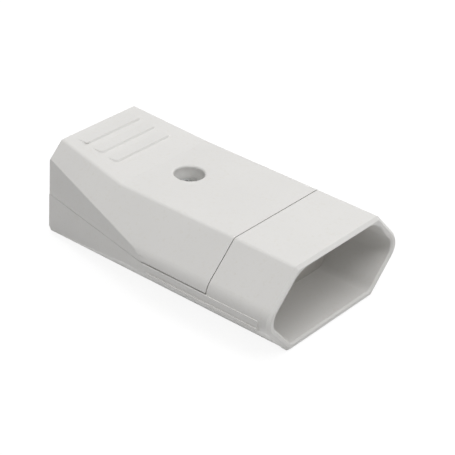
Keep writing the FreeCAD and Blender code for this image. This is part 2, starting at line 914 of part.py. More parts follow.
def contact_retainer():
    body = new_body("contact_retainer")
    carrier_prism(body, retainer_front, size.retainer_thickness)
    gap = size.retainer_slot_gap
    neck = sleeve_radius + gap
    half_pitch = size.pin_spacing / 2
    below = carrier_bottom - size.overrun
    slots = box(half_pitch - neck, half_pitch + neck, below, pin_height)
    slot_sketch = mirrored_outlines(body, "slot_sections", "XZ_Plane", slots, retainer_front)
    pocket(body, "slots", slot_sketch, size.retainer_thickness)
    ends = circles(body, "slot_end_sections", "XZ_Plane", line_centres, neck, retainer_front)
    pocket(body, "slot_ends", ends, size.retainer_thickness)
    tab = size.tab_half_width + gap
    middle = box(-tab, tab, below, earth_block_top + gap)
    middle_sketch = outline(body, "tab_slot_section", "XZ_Plane", middle, retainer_front)
    pocket(body, "tab_slot", middle_sketch, size.retainer_thickness)
    centres = [earth_centre]
    passage = circles(body, "earth_passage_section", "XZ_Plane", centres, pin_hole_radius, retainer_front)
    pocket(body, "earth_passage", passage, size.retainer_thickness)
    place(body)


# Contacts, each drawn on its own pin axis


def slit_sleeve(body):
    """Crossed slits that split the front of a contact sleeve into four fingers."""
    half = size.slit_width / 2
    start = contact_front - size.overrun
    end = contact_front + size.slit_length
    upright = outline(body, body.Name + "_upright_slit", "XY_Plane", box(-half, half, start, end))
    pocket(body, body.Name + "_upright", upright, sleeve_radius * 4, midplane=True)
    level = outline(body, body.Name + "_level_slit", "YZ_Plane", box(start, end, -half, half))
    pocket(body, body.Name + "_level", level, sleeve_radius * 4, midplane=True)


def sleeve_profile():
    """The outside of the sleeve from its open front to its spring ring's groove."""
    groove_front = contact_front + size.ring_front
    groove_rear = groove_front + size.ring_width
    floor = sleeve_radius - size.ring_thickness
    return [
        (bore_radius, contact_front),
        (sleeve_radius, contact_front),
        (sleeve_radius, groove_front),
        (floor, groove_front),
        (floor, groove_rear),
        (sleeve_radius, groove_rear),
    ]


def drill_terminal(body, rear, length, middle, top, axis_height):
    """The wire's bore from the rear and the screw's hole from above."""
    centres = [(ZERO, axis_height)]
    wire = circles(body, body.Name + "_wire_section", "XZ_Plane", centres, size.wire_radius, rear)
    pocket(body, body.Name + "_wire_bore", wire, length - size.wire_end_metal, reverse=True)
    hole = circles(body, body.Name + "_screw_plan", "XY_Plane", [(ZERO, middle)], bush_bore, top)
    pocket(body, body.Name + "_screw_hole", hole, top - axis_height)


def line_contact(label, side):
    """A turned contact: slit sleeve, collar, neck and barrel, with a square terminal block."""
    body = new_body(label)
    profile = sleeve_profile() + [
        (sleeve_radius, collar_front),
        (collar_radius, collar_front),
        (collar_radius, carrier_rear),
        (sleeve_radius, carrier_rear),
        (sleeve_radius, barrel_front),
        (barrel_radius, barrel_front),
        (barrel_radius, block_front),
        (ZERO, block_front),
        (ZERO, bore_rear),
        (bore_radius, bore_rear),
    ]
    sketch = outline(body, label + "_profile", "XY_Plane", profile)
    revolve(body, label + "_turned", sketch)
    face = box(-block_half_width, block_half_width, -block_half_height, block_half_height)
    block = outline(body, label + "_block_section", "XZ_Plane", face, block_front)
    pad(body, label + "_block", block, size.block_length, reverse=True)
    slit_sleeve(body)
    drill_terminal(body, block_rear, size.block_length, block_middle, block_half_height, ZERO)
    place(body, x=size.pin_spacing * side / 2, z=pin_height)


def earth_contact():
    """A slit sleeve on an upright plate, with a tab through the retainer to its terminal block."""
    body = new_body("earth_contact")
    plate_front = carrier_rear - size.plate_thickness
    profile = sleeve_profile() + [(sleeve_radius, plate_front), (bore_radius, plate_front)]
    sketch = outline(body, "earth_profile", "XY_Plane", profile)
    revolve(body, "earth_sleeve", sketch)
    foot = plate_foot - earth_height
    round_end = circles(body, "plate_end_section", "XZ_Plane", [(ZERO, ZERO)], sleeve_radius, plate_front)
    pad(body, "plate_end", round_end, size.plate_thickness, reverse=True)
    plate_face = box(-plate_half_width, plate_half_width, foot, -size.pin_radius)
    plate = outline(body, "plate_section", "XZ_Plane", plate_face, plate_front)
    pad(body, "plate", plate, size.plate_thickness, reverse=True)
    bore = circles(body, "plate_bore_section", "XZ_Plane", [(ZERO, ZERO)], bore_radius, plate_front)
    pocket(body, "plate_bore", bore, size.plate_thickness)

    block_foot = earth_block_foot - earth_height
    block_top = earth_block_top - earth_height
    tab_face = box(-size.tab_half_width, size.tab_half_width, foot, block_top)
    tab = outline(body, "tab_section", "XZ_Plane", tab_face, carrier_rear)
    pad(body, "tab", tab, barrel_front - carrier_rear, reverse=True)
    block_face = box(-block_half_width, block_half_width, block_foot, block_top)
    block = outline(body, "earth_block_section", "XZ_Plane", block_face, barrel_front)
    pad(body, "earth_block", block, size.earth_block_length, reverse=True)
    slit_sleeve(body)
    axis_height = (block_foot + block_top) / 2
    length = size.earth_block_length
    drill_terminal(body, earth_block_rear, length, earth_block_middle, block_top, axis_height)
    place(body, z=earth_height)


def spring_ring(label, x, z):
    """A split band in the groove round a contact sleeve."""
    body = new_body(label)
    front = contact_front + size.ring_front + size.ring_gap
    rear = front + size.ring_width - size.ring_gap * 2
    inner = sleeve_radius - size.ring_thickness + size.ring_gap
    section_of_band = box(inner, inner + size.ring_thickness, front, rear)
    band = outline(body, label + "_profile", "XY_Plane", section_of_band)
    revolve(body, label + "_band", band, angle=as_size(360) - size.ring_opening)
    place(body, x=x, z=z)


# Fasteners, each drawn on its own axis with its seat at the origin


def screw(label, head_radius, head_height, bevel, shank):
    body = new_body(label)
    thread = size.thread_radius
    profile = [
        (ZERO, -shank),
        (thread, -shank),
        (thread, ZERO),
        (head_radius, ZERO),
        (head_radius, head_height - bevel),
        (head_radius - bevel, head_height),
        (ZERO, head_height),
    ]
    sketch = outline(body, label + "_profile", "XZ_Plane", profile)
    revolve(body, label + "_turned", sketch)
    return body


def slotted_screw(label, head_radius, head_height, shank, x, y, z):
    body = screw(label, head_radius, head_height, size.head_bevel, shank)
    half = size.screw_slot_width / 2
    reach = head_radius + size.overrun
    slot = outline(body, label + "_slot_plan", "XY_Plane", box(-half, half, -reach, reach), head_height)
    pocket(body, label + "_slot", slot, size.screw_slot_depth)
    place(body, x, y, z)


def cover_screw():
    """The sunk screw, its head crossed by two short slots."""
    height = size.cover_head_height
    body = screw("cover_screw", size.cover_head_radius, height, size.cover_head_bevel, cover_shank)
    half = size.cross_width / 2
    reach = size.cross_length / 2
    arms = (
        ("cross_along", box(-half, half, -reach, reach)),
        ("cross_across", box(-reach, reach, -half, half)),
    )
    for name, corners in arms:
        arm = outline(body, name + "_plan", "XY_Plane", corners, height)
        pocket(body, name, arm, size.screw_slot_depth)
    place(body, y=cover_screw_place, z=cover_seat)


def threaded_bush(label, x, y, top):
    """A brass bush for a screw, sunk in a post of the lower shell."""
    body = new_body(label)
    profile = box(bush_bore, bush_radius, ZERO, size.bush_length)
    sketch = outline(body, label + "_profile", "XZ_Plane", profile)
    revolve(body, label + "_turned", sketch)
    place(body, x, y, top - size.bush_length)


def cord_clamp_bar():
    """The bar that presses the cord into its saddles, arched over the cord."""
    body = new_body("cord_clamp_bar")
    half = clamp_reach + size.clamp_overhang
    top = clamp_post_top + size.clamp_thickness
    front = clamp_place - size.clamp_length / 2
    face = outline(body, "clamp_section", "XZ_Plane", box(-half, half, clamp_post_top, top), front)
    pad(body, "clamp", face, size.clamp_length, reverse=True)

    def is_end_edge(middle, edge):
        return is_near(abs(middle.x), half) and runs_along(edge, ALONG_Z)

    fillet(body, "clamp_end_rounding", size.clamp_end_radius, is_end_edge)
    arch = size.cord_radius - size.clamp_grip
    groove = circles(body, "clamp_groove_section", "XZ_Plane", [cord_axis], arch, front)
    pocket(body, "clamp_groove", groove, size.clamp_length)
    holes = circles(body, "clamp_hole_plan", "XY_Plane", clamp_places, screw_hole_radius, top)
    pocket(body, "clamp_holes", holes, size.clamp_thickness)
    place(body)


def build_fasteners():
    half_pitch = size.pin_spacing / 2
    block_top = pin_height + block_half_height
    terminals = (
        ("line_terminal_screw", half_pitch, block_middle, block_top),
        ("neutral_terminal_screw", -half_pitch, block_middle, block_top),
        ("earth_terminal_screw", ZERO, earth_block_middle, earth_block_top),
    )
    head_radius = size.terminal_head_radius
    head_height = size.terminal_head_height
    for label, x, y, z in terminals:
        slotted_screw(label, head_radius, head_height, terminal_shank, x, y, z)
    cover_screw()
    threaded_bush("cover_screw_insert", ZERO, cover_screw_place, post_top)
    clamp_seat = clamp_post_top + size.clamp_thickness
    head_radius = size.clamp_head_radius
    head_height = size.clamp_head_height
    for side, (x, y) in zip(("left", "right"), clamp_places):
        label = "cord_clamp_screw_" + side
        slotted_screw(label, head_radius, head_height, clamp_shank, x, y, clamp_seat)
        threaded_bush("cord_clamp_insert_" + side, x, y, clamp_post_top)


def check_pieces():
    """Stops if any feature failed or any piece is not one valid solid."""
    for item in doc.Objects:
        if "Invalid" in item.State or "Error" in item.State:
            raise RuntimeError("%s is %s" % (item.Name, item.State))
    for body in pieces:
        shape = body.Shape
        if shape.isNull() or not shape.isValid() or len(shape.Solids) != 1:
            raise RuntimeError("%s is not one valid solid" % body.Label)


lower_shell()
upper_cover()
contact_carrier()
contact_retainer()
line_contact("line_contact", 1)
line_contact("neutral_contact", -1)
earth_contact()
spring_ring("line_spring_ring", size.pin_spacing / 2, pin_height)
spring_ring("neutral_spring_ring", -size.pin_spacing / 2, pin_height)
spring_ring("earth_spring_ring", ZERO, earth_height)
cord_clamp_bar()
build_fasteners()

doc.recompute()
check_pieces()
os.makedirs("parts", exist_ok=True)
for piece in pieces:
    piece.Shape.exportStep("parts/%s.step" % piece.Label)
    print("%-26s %9.2f mm3" % (piece.Label, piece.Shape.Volume))
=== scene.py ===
import math

import bmesh
import bpy
from mathutils import Matrix, Vector


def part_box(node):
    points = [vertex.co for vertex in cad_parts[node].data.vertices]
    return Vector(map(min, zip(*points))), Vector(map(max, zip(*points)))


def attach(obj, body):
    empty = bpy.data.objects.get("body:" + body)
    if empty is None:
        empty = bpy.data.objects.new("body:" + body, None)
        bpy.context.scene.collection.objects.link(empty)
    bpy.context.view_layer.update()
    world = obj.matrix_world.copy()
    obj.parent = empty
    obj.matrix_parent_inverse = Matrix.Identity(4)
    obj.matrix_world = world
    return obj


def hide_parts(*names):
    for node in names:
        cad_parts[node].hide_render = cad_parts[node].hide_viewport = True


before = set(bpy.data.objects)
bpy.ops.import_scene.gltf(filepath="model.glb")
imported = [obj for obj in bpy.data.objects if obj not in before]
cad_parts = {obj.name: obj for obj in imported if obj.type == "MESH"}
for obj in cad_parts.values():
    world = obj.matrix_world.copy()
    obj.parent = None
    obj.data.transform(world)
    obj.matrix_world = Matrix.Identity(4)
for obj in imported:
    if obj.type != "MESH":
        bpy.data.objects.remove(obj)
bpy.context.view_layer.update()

bl_info = {
    "name": "Inline Socket Connector",
    "version": (1, 0, 0),
    "blender": (4, 5, 0),
    "location": "View3D > Sidebar > Connector",
    "description": "Builds the moulded shells, contacts, screws and stage of a rewirable inline socket",
    "category": "Object",
}

CARRIERS = {
    "contact_carrier": "contact_carrier_moulding",
    "contact_retainer": "contact_retainer_moulding",
}
CONTACTS = {
    "line_contact": "line_contact_turning",
    "neutral_contact": "neutral_contact_turning",
    "earth_contact": "earth_contact_pressing",
}
INSERTS = {
    "cover_screw_insert": "cover_screw_bush",
    "cord_clamp_insert_left": "cord_clamp_bush_left",
    "cord_clamp_insert_right": "cord_clamp_bush_right",
}
SPRINGS = {
    "line_spring_ring": "line_spring_band",
    "neutral_spring_ring": "neutral_spring_band",
    "earth_spring_ring": "earth_spring_band",
}
SLOTTED_SCREWS = {
    "line_terminal_screw": "line_terminal_screw_threaded",
    "neutral_terminal_screw": "neutral_terminal_screw_threaded",
    "earth_terminal_screw": "earth_terminal_screw_threaded",
    "cord_clamp_screw_left": "cord_clamp_screw_left_threaded",
    "cord_clamp_screw_right": "cord_clamp_screw_right_threaded",
}

# Lamps: their name, the property with their power, their size and their place

LAMPS = (
    ("overhead_lamp", "overhead_power", 0.7, (-0.05, -0.08, 0.7)),
    ("front_lamp", "front_power", 0.3, (0.15, -0.55, 0.5)),
    ("far_lamp", "far_power", 0.4, (0.7, 0.1, 0.3)),
)
LAMP_AIM = (0, 0, 0.01)

# The floor: its size, its greys in the light of the room and on the picture, and its glow

FLOOR_SIZE = 8.0
FLOOR_IN_ROOM = (0.8, 0.8, 0.8, 1)
FLOOR_IN_PICTURE = (0.15, 0.15, 0.15, 1)
FLOOR_GLOW = 0.9

# Places on the cover, in metres: its lower edge, the bend of its sides, the ridges and the well

JOINT_TOP = 0.00925
JOINT_BEND = 0.0
BEND_ZONE = 0.0002
BEND_CUT = 0.0003
BEND_REACH = 0.001
RIDGES_START = 0.017
RIDGE_WALL = 0.0004
WELL_REACH = 0.0032

# How points and edges are told apart: steps per metre for merging, distances in metres, angles

MERGE_STEPS = 4e5
SAME_HEIGHT = 1e-5
UPRIGHT = 1e-6
SAME_POINT = 1e-7
SOFT_TURN = math.radians(2)
HARD_TURN = math.radians(20)
CREASE_TURN = math.radians(32)

# How far a face's normal has to lie along an axis, or may at most, to count as facing that way

SIDE_FACING = 0.9
SIDE_LEANING = 0.3
REAR_FACING = 0.15
REAR_AT_MOST = 0.1
DOWN_FACING = -0.9
UP_FACING = 0.9999

# An edge is rounded where the edges beside it are longer than this many widths

EDGE_ROOM = 3

# Shank and head of a screw, told apart by parts of the shank's radius

SHANK_FROM = 0.9
SHANK_TO = 1.05
HEAD_FROM = 1.2

# The sunk screw, as parts of its core, of its head's radius and of its head's height

TIP_RADIUS = 0.8
TIP_RISE = 0.2
SEAT_RADIUS = 0.95
SEAT_RISE = 0.05
STRAIGHT_PART = 0.36
DOME_POWER = 0.8

# The cutter of the cross: its foot as a part of its top, its height and how far it stands out

FOOT_LENGTH = 0.42
FOOT_WIDTH = 0.72
CUTTER_HEIGHT = 0.0016
CUTTER_RISE = 0.0004

# Steps in a round: the well's rim, the screw's dome and head, one turn of a thread, its ridge

RIM_STEPS = 4
DOME_STEPS = 12
HEAD_STEPS = 64
THREAD_STEPS = 28
THREAD_CORNERS = 3

# Marks in the materials, in metres: how large they are and how deep

CLOUD_SIZE = 0.014
GLOSS_SIZE = 0.003
WAVE_SIZE = 0.006
WAVE_DEPTH = 0.00002
TARNISH_SIZE = 0.0035
TOOL_MARK_SIZE = 0.0006
TOOL_MARK_DEPTH = 0.000008
PIT_SIZE = 0.00018
PIT_DEPTH = 0.000004
SATIN_GRAIN = 0.00035
SATIN_DEPTH = 0.000006

# How marks run: round the connector's long axis, as turning leaves them, or evenly

TURNED_MARKS = (0.3, 3.0, 0.3)
EVEN_MARKS = (1, 1, 1)


# Sizes and colours


class ShellFinish(bpy.types.PropertyGroup):
    colour: bpy.props.FloatVectorProperty(
        name="Shell colour",
        description="Colour of the moulded plastic of both shells",
        subtype="COLOR",
        size=3,
        min=0,
        max=1,
        default=(0.72, 0.711, 0.693),
    )
    edge: bpy.props.FloatProperty(
        name="Edge softness",
        description="Width of the small rounding that moulding leaves on each edge",
        unit="LENGTH",
        default=0.00016,
    )
    grain: bpy.props.FloatProperty(
        name="Grain size",
        description="Size of one speck of the sparked mould's texture",
        unit="LENGTH",
        default=0.00022,
    )
    grain_depth: bpy.props.FloatProperty(
        name="Grain depth",
        description="Height of the sparked mould's texture",
        unit="LENGTH",
        default=0.00001,
    )


class CoverDetails(bpy.types.PropertyGroup):
    well_rounding: bpy.props.FloatProperty(
        name="Well rounding",
        description="Radius of the rim of the screw's well",
        unit="LENGTH",
        default=0.0005,
    )
    ridge_lean: bpy.props.FloatProperty(
        name="Ridge lean",
        description="How far the low walls of the finger ridges lean inwards",
        unit="LENGTH",
        default=0.00025,
    )
    joint_opening: bpy.props.FloatProperty(
        name="Joint opening",
        description="How far the cover's lower edge is lifted at the sleeve",
        unit="LENGTH",
        default=0.00013,
    )
    bend_opening: bpy.props.FloatProperty(
        name="Bend opening",
        description="How far the cover's lower edge is lifted at the bend of the sides",
        unit="LENGTH",
        default=0.00005,
    )
    joint_closing: bpy.props.FloatProperty(
        name="Joint closing",
        description="How far the cover's lower edge is lowered behind the bend",
        unit="LENGTH",
        default=0.00014,
    )
    facet_strip: bpy.props.FloatProperty(
        name="Facet strip",
        description="Distance from the rear facets at which the long side faces are parted",
        unit="LENGTH",
        default=0.0004,
    )


class CarrierFinishWithPaintedShade(bpy.types.PropertyGroup):
    # The default colour is darker and warmer than the shells': it is painted shade that stands in for
    # the shade deep inside the mouth, where the carrier sits.
    colour: bpy.props.FloatVectorProperty(
        name="Carrier colour",
        description="Colour of the harder plastic that holds the contacts",
        subtype="COLOR",
        size=3,
        min=0,
        max=1,
        default=(0.585, 0.568, 0.538),
    )
    edge: bpy.props.FloatProperty(
        name="Edge softness",
        description="Width of the rounding on the carrier's edges",
        unit="LENGTH",
        default=0.0001,
    )


class MetalFinish(bpy.types.PropertyGroup):
    brass: bpy.props.FloatVectorProperty(
        name="Brass colour",
        description="Colour of the turned and pressed contacts and bushes",
        subtype="COLOR",
        size=3,
        min=0,
        max=1,
        default=(0.71, 0.52, 0.25),
    )
    plated_steel: bpy.props.FloatVectorProperty(
        name="Screw colour",
        description="Colour of the zinc-plated screws",
        subtype="COLOR",
        size=3,
        min=0,
        max=1,
        default=(0.62, 0.63, 0.64),
    )
    spring_steel: bpy.props.FloatVectorProperty(
        name="Spring colour",
        description="Colour of the tempered spring bands",
        subtype="COLOR",
        size=3,
        min=0,
        max=1,
        default=(0.42, 0.43, 0.46),
    )
    edge: bpy.props.FloatProperty(
        name="Edge softness",
        description="Width of the broken edges on the metal pieces",
        unit="LENGTH",
        default=0.00005,
    )


class ScrewSizes(bpy.types.PropertyGroup):
    pitch: bpy.props.FloatProperty(
        name="Thread pitch",
        description="Distance from one turn of the thread to the next",
        unit="LENGTH",
        default=0.0006,
    )
    depth: bpy.props.FloatProperty(
        name="Thread depth",
        description="Height of the thread over the core of the shank",
        unit="LENGTH",
        default=0.00028,
    )
    recess_width: bpy.props.FloatProperty(
        name="Cross width",
        description="Width of one arm of the cross in the cover screw",
        unit="LENGTH",
        default=0.0006,
    )
    recess_length: bpy.props.FloatProperty(
        name="Cross length",
        description="Length of one arm of the cross from end to end",
        unit="LENGTH",
        default=0.0021,
    )


class StageSettings(bpy.types.PropertyGroup):
    azimuth: bpy.props.FloatProperty(
        name="Camera azimuth",
        description="Direction that the camera looks from, round the upright axis",
        subtype="ANGLE",
        default=math.radians(-52.755),
    )
    elevation: bpy.props.FloatProperty(
        name="Camera elevation",
        description="Height of the camera over the horizon",
        subtype="ANGLE",
        default=math.radians(30.65),
    )
    roll: bpy.props.FloatProperty(
        name="Camera roll",
        description="Turn of the picture about the line of sight",
        subtype="ANGLE",
        default=math.radians(4.015),
    )
    distance: bpy.props.FloatProperty(
        name="Camera distance",
        description="Distance from the camera to the point that it looks at",
        unit="LENGTH",
        default=0.3197,
    )
    target: bpy.props.FloatVectorProperty(
        name="Camera target",
        description="The point that the camera looks at",
        subtype="TRANSLATION",
        size=3,
        default=(0.000004, -0.00423, 0.00999),
    )
    lens: bpy.props.FloatProperty(
        name="Lens",
        description="Focal length in millimetres on a frame 36 millimetres wide",
        default=131.05,
    )
    overhead_power: bpy.props.FloatProperty(
        name="Overhead light",
        description="Power of the large soft lamp over the connector",
        unit="POWER",
        default=4.52,
    )
    front_power: bpy.props.FloatProperty(
        name="Front light",
        description="Power of the soft lamp high in front of the mouth",
        unit="POWER",
        default=0.638,
    )
    far_power: bpy.props.FloatProperty(
        name="Far light",
        description="Power of the soft lamp beyond the connector",
        unit="POWER",
        default=1.064,
    )
    surround: bpy.props.FloatProperty(
        name="Surround",
        description="Strength of the even light from all round",
        default=0.153,
    )


GROUPS = {
    "connector_shell": ShellFinish,
    "connector_cover": CoverDetails,
    "connector_carrier": CarrierFinishWithPaintedShade,
    "connector_metal": MetalFinish,
    "connector_screws": ScrewSizes,
    "connector_stage": StageSettings,
}


# Material helpers


class Nodes:
    """Adds shader nodes to one material and joins them."""

    def __init__(self, name):
        self.material = bpy.data.materials.get(name) or bpy.data.materials.new(name)
        self.material.use_nodes = True
        self.tree = self.material.node_tree
        self.tree.nodes.clear()
        self.output = self.add("ShaderNodeOutputMaterial")
        self.shader = self.add("ShaderNodeBsdfPrincipled")
        self.join(self.shader, "BSDF", self.output, "Surface")
        self.coordinates = self.add("ShaderNodeTexCoord")

    def add(self, kind, **settings):
        node = self.tree.nodes.new(kind)
        for key, value in settings.items():
            if hasattr(node, key):
                setattr(node, key, value)
            else:
                node.inputs[key.replace("_", " ")].default_value = value
        return node

    def join(self, source, out, target, into):
        self.tree.links.new(source.outputs[out], target.inputs[into])

    def noise(self, size, detail=2.0, roughness=0.5, stretch=EVEN_MARKS):
        """Noise on object coordinates whose features are about as large as size."""
        mapping = self.add("ShaderNodeMapping", Scale=stretch)
        self.join(self.coordinates, "Object", mapping, "Vector")
        node = self.add("ShaderNodeTexNoise", Scale=1 / size, Detail=detail, Roughness=roughness)
        self.join(mapping, "Vector", node, "Vector")
        return node

    def spread(self, node, out, low, high, start=0.3, end=0.7):
        """Maps a value that runs from start to end onto low to high."""
        spread = self.add("ShaderNodeMapRange")
        spread.inputs["From Min"].default_value = start
        spread.inputs["From Max"].default_value = end
        spread.inputs["To Min"].default_value = low
        spread.inputs["To Max"].default_value = high
        self.join(node, out, spread, "Value")
        return spread

    def blend(self, factor, out, first, second):
        """Mixes two colours, or a colour and another node's result."""
        mix = self.add("ShaderNodeMix", data_type="RGBA")
        self.tree.links.new(factor.outputs[out], mix.inputs[0])
        for socket, value in ((mix.inputs[6], first), (mix.inputs[7], second)):
            if isinstance(value, bpy.types.Node):
                self.tree.links.new(value.outputs[2], socket)
            else:
                socket.default_value = (*value, 1)
        return mix

    def bump(self, layers):
        """Joins layers of height, each a node, its output, its strength and its depth."""
        before = None
        for node, out, strength, depth in layers:
            bump = self.add("ShaderNodeBump", Strength=strength, Distance=depth)
            self.join(node, out, bump, "Height")
            if before is not None:
                self.join(before, "Normal", bump, "Normal")
            before = bump
        self.join(before, "Normal", self.shader, "Normal")


def shade(colour, factor):
    return tuple(min(1.0, channel * factor) for channel in colour)


def moulded_plastic(name, colour, grain, depth, roughness):
    """Sparked plastic: fine grain, faint flow clouds and a little dust in the grain."""
    nodes = Nodes(name)
    clouds = nodes.spread(nodes.noise(CLOUD_SIZE, detail=3, roughness=0.55), "Fac", 0, 1)
    base = nodes.blend(clouds, "Result", shade(colour, 0.985), shade(colour, 1.01))
    dust = nodes.noise(grain * 3.2, detail=2, roughness=0.6)
    specks = nodes.spread(dust, "Fac", 0, 1, start=0.56, end=0.78)
    warm = (colour[0] * 0.965, colour[1] * 0.955, colour[2] * 0.93)
    dusted = nodes.blend(specks, "Result", base, warm)
    nodes.tree.links.new(dusted.outputs[2], nodes.shader.inputs["Base Color"])
    fine = nodes.noise(grain, detail=3, roughness=0.65)
    sheen = nodes.noise(GLOSS_SIZE, detail=4, roughness=0.6)
    gloss = nodes.spread(sheen, "Fac", roughness - 0.05, roughness + 0.06)
    nodes.join(gloss, "Result", nodes.shader, "Roughness")
    waves = nodes.noise(WAVE_SIZE, detail=2, roughness=0.5)
    nodes.bump([(waves, "Fac", 0.25, WAVE_DEPTH), (fine, "Fac", 0.5, depth)])
    nodes.shader.inputs["IOR"].default_value = 1.52
    nodes.shader.inputs["Specular IOR Level"].default_value = 0.42
    return nodes.material


def worked_metal(name, colour, roughness, stretch, tarnish):
    """Metal with tool marks along one way, small scratches and a faint tarnish."""
    nodes = Nodes(name)
    stains = nodes.noise(TARNISH_SIZE, detail=4, roughness=0.6)
    patches = nodes.spread(stains, "Fac", 0, 1, start=0.42, end=0.72)
    base = nodes.blend(patches, "Result", colour, tarnish)
    nodes.tree.links.new(base.outputs[2], nodes.shader.inputs["Base Color"])
    marks = nodes.noise(TOOL_MARK_SIZE, detail=4, roughness=0.7, stretch=stretch)
    gloss = nodes.spread(marks, "Fac", roughness - 0.08, roughness + 0.12)
    nodes.join(gloss, "Result", nodes.shader, "Roughness")
    pits = nodes.noise(PIT_SIZE, detail=2, roughness=0.5)
    nodes.bump([(marks, "Fac", 0.35, TOOL_MARK_DEPTH), (pits, "Fac", 0.15, PIT_DEPTH)])
    nodes.shader.inputs["Metallic"].default_value = 1.0
    return nodes.material


def shell_plastic():
    finish = bpy.context.scene.connector_shell
    grain = finish.grain
    return moulded_plastic("shell_plastic_sparked", finish.colour, grain, finish.grain_depth, 0.47)


def carrier_plastic():
    # Painted shade: the carrier's darker, warmer grey stands in for the shade inside the mouth.
    colour = bpy.context.scene.connector_carrier.colour
    return moulded_plastic("carrier_plastic_satin", colour, SATIN_GRAIN, SATIN_DEPTH, 0.38)


def brass():
    colour = bpy.context.scene.connector_metal.brass
    return worked_metal("brass_turned", colour, 0.3, TURNED_MARKS, (0.52, 0.36, 0.17))


def screw_steel():
    colour = bpy.context.scene.connector_metal.plated_steel
    return worked_metal("screw_steel_plated", colour, 0.34, EVEN_MARKS, (0.50, 0.50, 0.47))


def spring_steel():
    colour = bpy.context.scene.connector_metal.spring_steel
    return worked_metal("spring_steel_tempered", colour, 0.36, TURNED_MARKS, (0.30, 0.30, 0.36))


# Mesh helpers


def merged_solid(node):
    """The shape of a CAD node as one closed bmesh, its hard edges marked for bevelling."""
    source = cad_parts[node].data
    corner_normals = source.corner_normals
    solid = bmesh.new()
    points = {}
    normals = {}
    for polygon in source.polygons:
        corners = []
        for loop in polygon.loop_indices:
            place = source.vertices[source.loops[loop].vertex_index].co
            key = tuple(round(value * MERGE_STEPS) for value in place)
            if key not in points:
                points[key] = solid.verts.new(place)
            corners.append((points[key], corner_normals[loop].vector.copy()))
        if len({point for point, normal in corners}) < 3:
            continue
        face = solid.faces.new([point for point, normal in corners])
        for point, normal in corners:
            normals[face, point] = normal
    for edge in solid.edges:
        if len(edge.link_faces) != 2:
            raise RuntimeError("%s isn't closed" % node)
        first, second = edge.link_faces
        turn = max(normals[first, point].angle(normals[second, point], 0) for point in edge.verts)
        edge.smooth = turn < SOFT_TURN
    for face in solid.faces:
        face.smooth = True
    solid.normal_update()
    return solid


def mark_outer_edges(solid, width):
    """Marks the hard edges that stand out and have room for a rounding of that width."""
    weight = solid.edges.layers.float.new("bevel_weight_edge")
    outer = {
        edge
        for edge in solid.edges
        if not edge.smooth and edge.is_convex and edge.calc_face_angle(0) > HARD_TURN
    }
    for edge in outer:
        beside = {other for point in edge.verts for other in point.link_edges} - {edge}
        if all(other.calc_length() > width * EDGE_ROOM for other in beside):
            edge[weight] = 1


def add_object(name, mesh):
    piece = bpy.data.objects.new(name, mesh)
    bpy.context.scene.collection.objects.link(piece)
    return piece


def object_of(solid, name):
    """Turns a bmesh into an object and frees it."""
    mesh = bpy.data.meshes.new(name)
    solid.to_mesh(mesh)
    solid.free()
    return add_object(name, mesh)


def settle(piece):
    """Turns a piece and its modifiers into a plain mesh."""
    bpy.context.view_layer.update()
    graph = bpy.context.evaluated_depsgraph_get()
    mesh = bpy.data.meshes.new_from_object(piece.evaluated_get(graph), depsgraph=graph)
    mesh.name = piece.name
    piece.modifiers.clear()
    piece.data = mesh
    return piece


def soften(piece, width):
    """Rounds the marked edges a little and keeps the broad faces flat."""
    bevel = piece.modifiers.new("edge_softness", "BEVEL")
    bevel.limit_method = "WEIGHT"
    bevel.width = width
    bevel.segments = 2
    bevel.use_clamp_overlap = False
    weighted = piece.modifiers.new("flat_faces", "WEIGHTED_NORMAL")
    weighted.mode = "FACE_AREA"
    weighted.weight = 50
    weighted.keep_sharp = True
    return settle(piece)


def rounded(solid, name, width):
    """Turns a bmesh into an object whose outer edges are rounded."""
    mark_outer_edges(solid, width)
    return soften(object_of(solid, name), width)


def moulding(node, name, width):
    return rounded(merged_solid(node), name, width)


def hand_over(piece, node, material):
    """Gives a finished piece its material and its place in the frame."""
    piece.data.materials.clear()
    piece.data.materials.append(material)
    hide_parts(node)
    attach(piece, "root")


def dress_all(pieces, width, material):
    for node, name in pieces.items():
        hand_over(moulding(node, name, width), node, material)


# The cover


def part_sides(solid, inset):
    """Parts the long faces of the sides and slopes just in front of the rear facets."""
    for side in (-1, 1):
        facets = [
            face
            for face in solid.faces
            if face.normal.x * side > SIDE_FACING and face.normal.y > REAR_FACING
        ]
        rear = max(facets, key=lambda face: face.calc_area())
        faces = [
            face
            for face in solid.faces
            if face.normal.x * side > SIDE_LEANING and abs(face.normal.y) < REAR_AT_MOST
        ]
        edges = {edge for face in faces for edge in face.edges}
        points = {point for face in faces for point in face.verts}
        place = rear.calc_center_median() - rear.normal * inset
        bmesh.ops.bisect_plane(
            solid,
            geom=[*edges, *points, *faces],
            plane_co=place,
            plane_no=rear.normal,
        )
    solid.normal_update()


def faces_out(face):
    """Whether a face points away from the middle plane, and doesn't face down."""
    return face.normal.z > DOWN_FACING and face.normal.x * face.calc_center_median().x > 0


def open_joint(solid, details):
    """Widens the joint over the side rails and closes it up behind them."""
    outer = [
        edge
        for edge in solid.edges
        if all(abs(point.co.z - JOINT_TOP) < SAME_HEIGHT for point in edge.verts)
        and any(faces_out(face) for face in edge.link_faces)
    ]
    touched = {point for edge in outer for point in edge.verts}
    for edge in outer:
        front, rear = sorted(edge.verts, key=lambda point: point.co.y)
        if abs(front.co.y - JOINT_BEND) < BEND_ZONE and rear.co.y > JOINT_BEND + BEND_REACH:
            part = BEND_CUT / (rear.co - front.co).length
            touched.add(bmesh.utils.edge_split(edge, front, part)[1])
    for point in touched:
        if point.co.y > JOINT_BEND + BEND_ZONE:
            point.co.z -= details.joint_closing
        elif point.co.y > JOINT_BEND - BEND_REACH:
            point.co.z += details.bend_opening
        else:
            point.co.z += details.joint_opening


